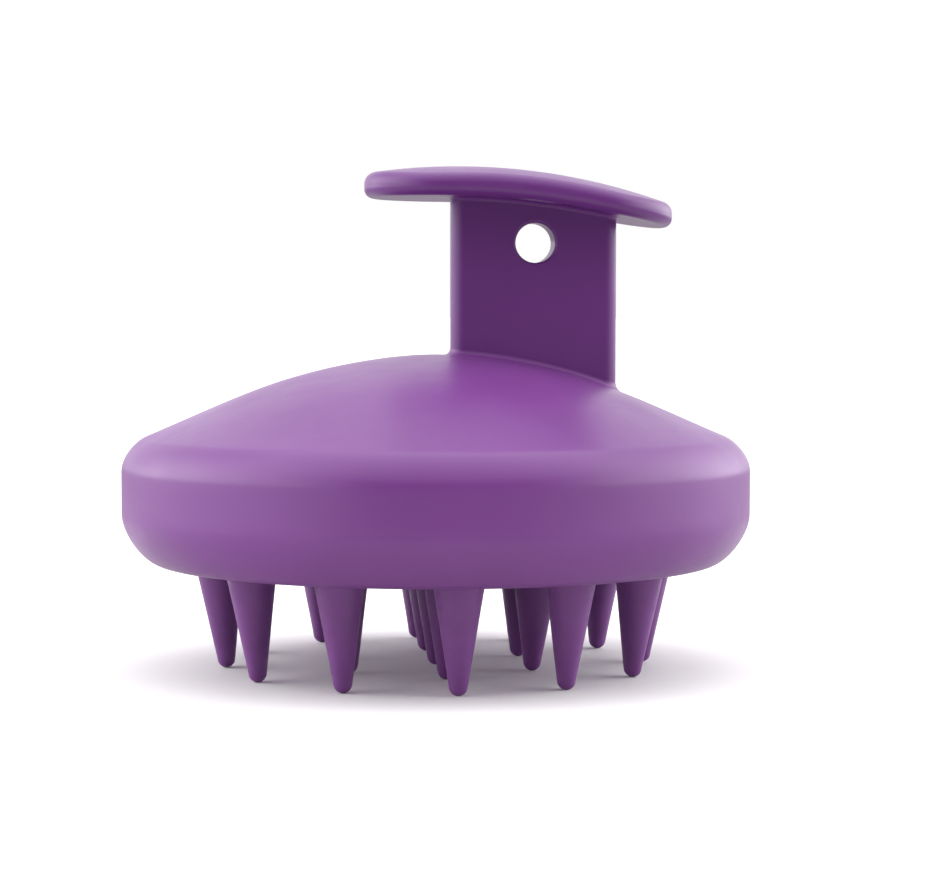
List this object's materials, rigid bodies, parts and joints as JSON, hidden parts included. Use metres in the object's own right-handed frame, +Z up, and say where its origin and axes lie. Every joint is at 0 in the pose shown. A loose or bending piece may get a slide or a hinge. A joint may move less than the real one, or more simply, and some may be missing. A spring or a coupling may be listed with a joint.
{
  "type": "grooming brush",
  "caption": "Round hand-held rubber-toothed grooming brush with a domed shell and an offset T-handle, for currying a coat or massaging a scalp.",
  "frame": {"origin": "on the floor under the middle of the round body, where the tooth tips stand", "axes": "+Z up; +X from the middle of the body towards the side that the handle stands on; +Y across the handle plate, along the hanging hole"},
  "size_m": [0.079, 0.079, 0.063],
  "materials": {
    "handle_plastic": "satin moulded ABS, purple",
    "shell_plastic": "satin moulded ABS, purple",
    "plate_plastic": "plain moulded ABS, purple",
    "silicone": "soft matt silicone rubber, purple",
    "screw_steel": "zinc-plated steel"
  },
  "bodies": {
    "body": {"handle": "handle_plastic", "top_shell": "shell_plastic", "handle_screws": "screw_steel", "backing_plate": "plate_plastic", "plate_screws": "screw_steel", "silicone_pad": "silicone"},
    "tooth_centre": {"tooth_centre": "silicone"},
    "tooth_outer_01": {"tooth_outer_01": "silicone"},
    "tooth_outer_02": {"tooth_outer_02": "silicone"},
    "tooth_outer_03": {"tooth_outer_03": "silicone"},
    "tooth_outer_04": {"tooth_outer_04": "silicone"},
    "tooth_outer_05": {"tooth_outer_05": "silicone"},
    "tooth_outer_06": {"tooth_outer_06": "silicone"},
    "tooth_outer_07": {"tooth_outer_07": "silicone"},
    "tooth_outer_08": {"tooth_outer_08": "silicone"},
    "tooth_outer_09": {"tooth_outer_09": "silicone"},
    "tooth_outer_10": {"tooth_outer_10": "silicone"},
    "tooth_outer_11": {"tooth_outer_11": "silicone"},
    "tooth_outer_12": {"tooth_outer_12": "silicone"},
    "tooth_inner_1": {"tooth_inner_1": "silicone"},
    "tooth_inner_2": {"tooth_inner_2": "silicone"},
    "tooth_inner_3": {"tooth_inner_3": "silicone"},
    "tooth_inner_4": {"tooth_inner_4": "silicone"},
    "tooth_inner_5": {"tooth_inner_5": "silicone"},
    "tooth_inner_6": {"tooth_inner_6": "silicone"}
  },
  "joints": [
    {"name": "centre_bend", "type": "hinge", "parent": "body", "child": "tooth_centre", "pos_m": [0, 0, 0.0138], "axis": [0, -1, 0], "range_deg": [-20, 20], "stiffness_Nm_per_rad": 0.025},
    {"name": "outer_01_bend", "type": "hinge", "parent": "body", "child": "tooth_outer_01", "pos_m": [0.0274, 0, 0.0138], "axis": [0, -1, 0], "range_deg": [-20, 20], "stiffness_Nm_per_rad": 0.025},
    {"name": "outer_02_bend", "type": "hinge", "parent": "body", "child": "tooth_outer_02", "pos_m": [0.02373, 0.0137, 0.0138], "axis": [0.5, -0.866, 0], "range_deg": [-20, 20], "stiffness_Nm_per_rad": 0.025},
    {"name": "outer_03_bend", "type": "hinge", "parent": "body", "child": "tooth_outer_03", "pos_m": [0.0137, 0.02373, 0.0138], "axis": [0.866, -0.5, 0], "range_deg": [-20, 20], "stiffness_Nm_per_rad": 0.025},
    {"name": "outer_04_bend", "type": "hinge", "parent": "body", "child": "tooth_outer_04", "pos_m": [0, 0.0274, 0.0138], "axis": [1, 0, 0], "range_deg": [-20, 20], "stiffness_Nm_per_rad": 0.025},
    {"name": "outer_05_bend", "type": "hinge", "parent": "body", "child": "tooth_outer_05", "pos_m": [-0.0137, 0.02373, 0.0138], "axis": [0.866, 0.5, 0], "range_deg": [-20, 20], "stiffness_Nm_per_rad": 0.025},
    {"name": "outer_06_bend", "type": "hinge", "parent": "body", "child": "tooth_outer_06", "pos_m": [-0.02373, 0.0137, 0.0138], "axis": [0.5, 0.866, 0], "range_deg": [-20, 20], "stiffness_Nm_per_rad": 0.025},
    {"name": "outer_07_bend", "type": "hinge", "parent": "body", "child": "tooth_outer_07", "pos_m": [-0.0274, 0, 0.0138], "axis": [0, 1, 0], "range_deg": [-20, 20], "stiffness_Nm_per_rad": 0.025},
    {"name": "outer_08_bend", "type": "hinge", "parent": "body", "child": "tooth_outer_08", "pos_m": [-0.02373, -0.0137, 0.0138], "axis": [-0.5, 0.866, 0], "range_deg": [-20, 20], "stiffness_Nm_per_rad": 0.025},
    {"name": "outer_09_bend", "type": "hinge", "parent": "body", "child": "tooth_outer_09", "pos_m": [-0.0137, -0.02373, 0.0138], "axis": [-0.866, 0.5, 0], "range_deg": [-20, 20], "stiffness_Nm_per_rad": 0.025},
    {"name": "outer_10_bend", "type": "hinge", "parent": "body", "child": "tooth_outer_10", "pos_m": [0, -0.0274, 0.0138], "axis": [-1, 0, 0], "range_deg": [-20, 20], "stiffness_Nm_per_rad": 0.025},
    {"name": "outer_11_bend", "type": "hinge", "parent": "body", "child": "tooth_outer_11", "pos_m": [0.0137, -0.02373, 0.0138], "axis": [-0.866, -0.5, 0], "range_deg": [-20, 20], "stiffness_Nm_per_rad": 0.025},
    {"name": "outer_12_bend", "type": "hinge", "parent": "body", "child": "tooth_outer_12", "pos_m": [0.02373, -0.0137, 0.0138], "axis": [-0.5, -0.866, 0], "range_deg": [-20, 20], "stiffness_Nm_per_rad": 0.025},
    {"name": "inner_1_bend", "type": "hinge", "parent": "body", "child": "tooth_inner_1", "pos_m": [0.01195, 0.0069, 0.0138], "axis": [0.5, -0.866, 0], "range_deg": [-20, 20], "stiffness_Nm_per_rad": 0.025},
    {"name": "inner_2_bend", "type": "hinge", "parent": "body", "child": "tooth_inner_2", "pos_m": [0, 0.0138, 0.0138], "axis": [1, 0, 0], "range_deg": [-20, 20], "stiffness_Nm_per_rad": 0.025},
    {"name": "inner_3_bend", "type": "hinge", "parent": "body", "child": "tooth_inner_3", "pos_m": [-0.01195, 0.0069, 0.0138], "axis": [0.5, 0.866, 0], "range_deg": [-20, 20], "stiffness_Nm_per_rad": 0.025},
    {"name": "inner_4_bend", "type": "hinge", "parent": "body", "child": "tooth_inner_4", "pos_m": [-0.01195, -0.0069, 0.0138], "axis": [-0.5, 0.866, 0], "range_deg": [-20, 20], "stiffness_Nm_per_rad": 0.025},
    {"name": "inner_5_bend", "type": "hinge", "parent": "body", "child": "tooth_inner_5", "pos_m": [0, -0.0138, 0.0138], "axis": [-1, 0, 0], "range_deg": [-20, 20], "stiffness_Nm_per_rad": 0.025},
    {"name": "inner_6_bend", "type": "hinge", "parent": "body", "child": "tooth_inner_6", "pos_m": [0.01195, -0.0069, 0.0138], "axis": [-0.5, -0.866, 0], "range_deg": [-20, 20], "stiffness_Nm_per_rad": 0.025}
  ]
}
